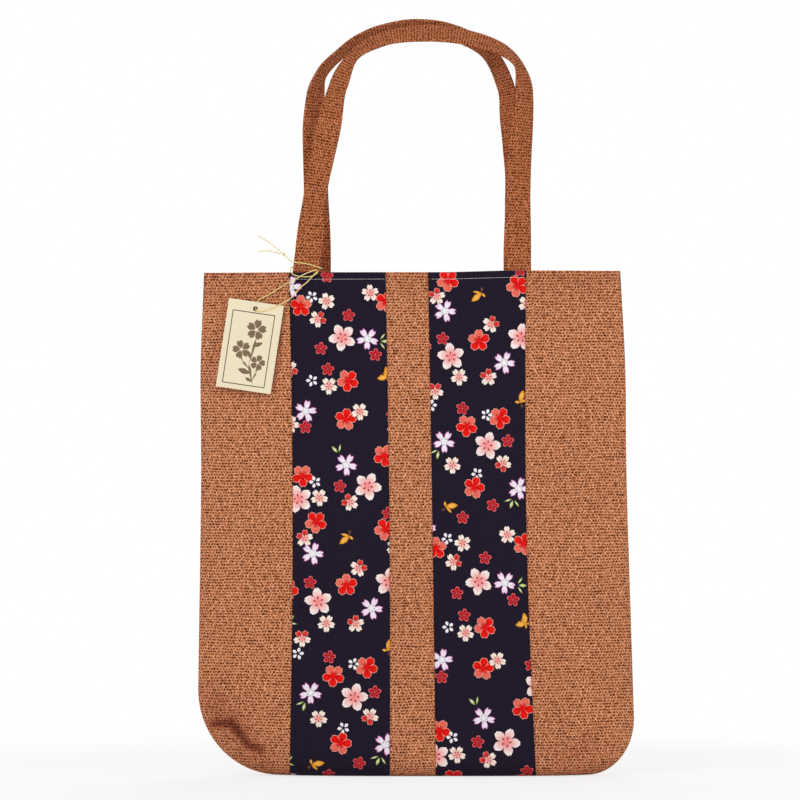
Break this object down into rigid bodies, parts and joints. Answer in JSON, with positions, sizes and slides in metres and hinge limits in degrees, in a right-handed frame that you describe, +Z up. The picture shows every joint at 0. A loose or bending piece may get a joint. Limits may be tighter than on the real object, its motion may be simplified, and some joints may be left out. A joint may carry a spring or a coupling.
{
  "type": "tote bag",
  "caption": "Upright patchwork tote bag of brown canvas and blossom-printed strips, with a lining, two flat strap handles and a hang tag on a thread.",
  "frame": {"origin": "middle of the base, on the surface that the bag stands on", "axes": "+Z up; +X to the right of someone facing the front; -Y the front"},
  "size_m": [0.3572, 0.066, 0.6202],
  "materials": {
    "brown_canvas": "open basket weave, matte",
    "printed_cloth": "fine plain weave, printed with blossoms",
    "lining_cloth": "plain cotton, matte",
    "tag_card": "uncoated card",
    "gold_thread": "metallic thread"
  },
  "bodies": {
    "bag": {"front_left_side_strip": "brown_canvas", "front_left_floral_strip": "printed_cloth", "front_centre_strip": "brown_canvas", "front_right_floral_strip": "printed_cloth", "front_right_side_strip": "brown_canvas", "front_lining": "lining_cloth", "front_facing": "brown_canvas", "back_left_side_strip": "brown_canvas", "back_left_floral_strip": "printed_cloth", "back_centre_strip": "brown_canvas", "back_right_floral_strip": "printed_cloth", "back_right_side_strip": "brown_canvas", "back_lining": "lining_cloth", "back_facing": "brown_canvas", "front_handle_left_end": "brown_canvas", "front_handle_right_end": "brown_canvas", "back_handle_left_end": "brown_canvas", "back_handle_right_end": "brown_canvas", "thread_wrap": "gold_thread", "thread_knot": "gold_thread", "thread_long_tail": "gold_thread", "thread_short_tail": "gold_thread"},
    "front_handle": {"front_handle": "brown_canvas"},
    "back_handle": {"back_handle": "brown_canvas"},
    "tag_string": {"tag_string_front": "gold_thread", "tag_string_back": "gold_thread"},
    "hang_tag": {"hang_tag": "tag_card"}
  },
  "joints": [
    {"name": "front_handle_fold", "type": "hinge", "parent": "bag", "child": "front_handle", "pos_m": [0, -0.0245, 0.429], "axis": [1, 0, 0], "range_deg": [0, 165]},
    {"name": "back_handle_fold", "type": "hinge", "parent": "bag", "child": "back_handle", "pos_m": [0, 0.0245, 0.429], "axis": [-1, 0, 0], "range_deg": [0, 165]},
    {"name": "tag_string_swing", "type": "hinge", "parent": "bag", "child": "tag_string", "pos_m": [-0.0796, -0.02553, 0.4115], "axis": [-0.2077, -0.9772, 0.0436], "range_deg": [-25, 75]},
    {"name": "hang_tag_turn", "type": "hinge", "parent": "tag_string", "child": "hang_tag", "pos_m": [-0.13132, -0.01587, 0.38173], "axis": [-0.2077, -0.9772, 0.0436], "range_deg": [-60, 60]}
  ]
}
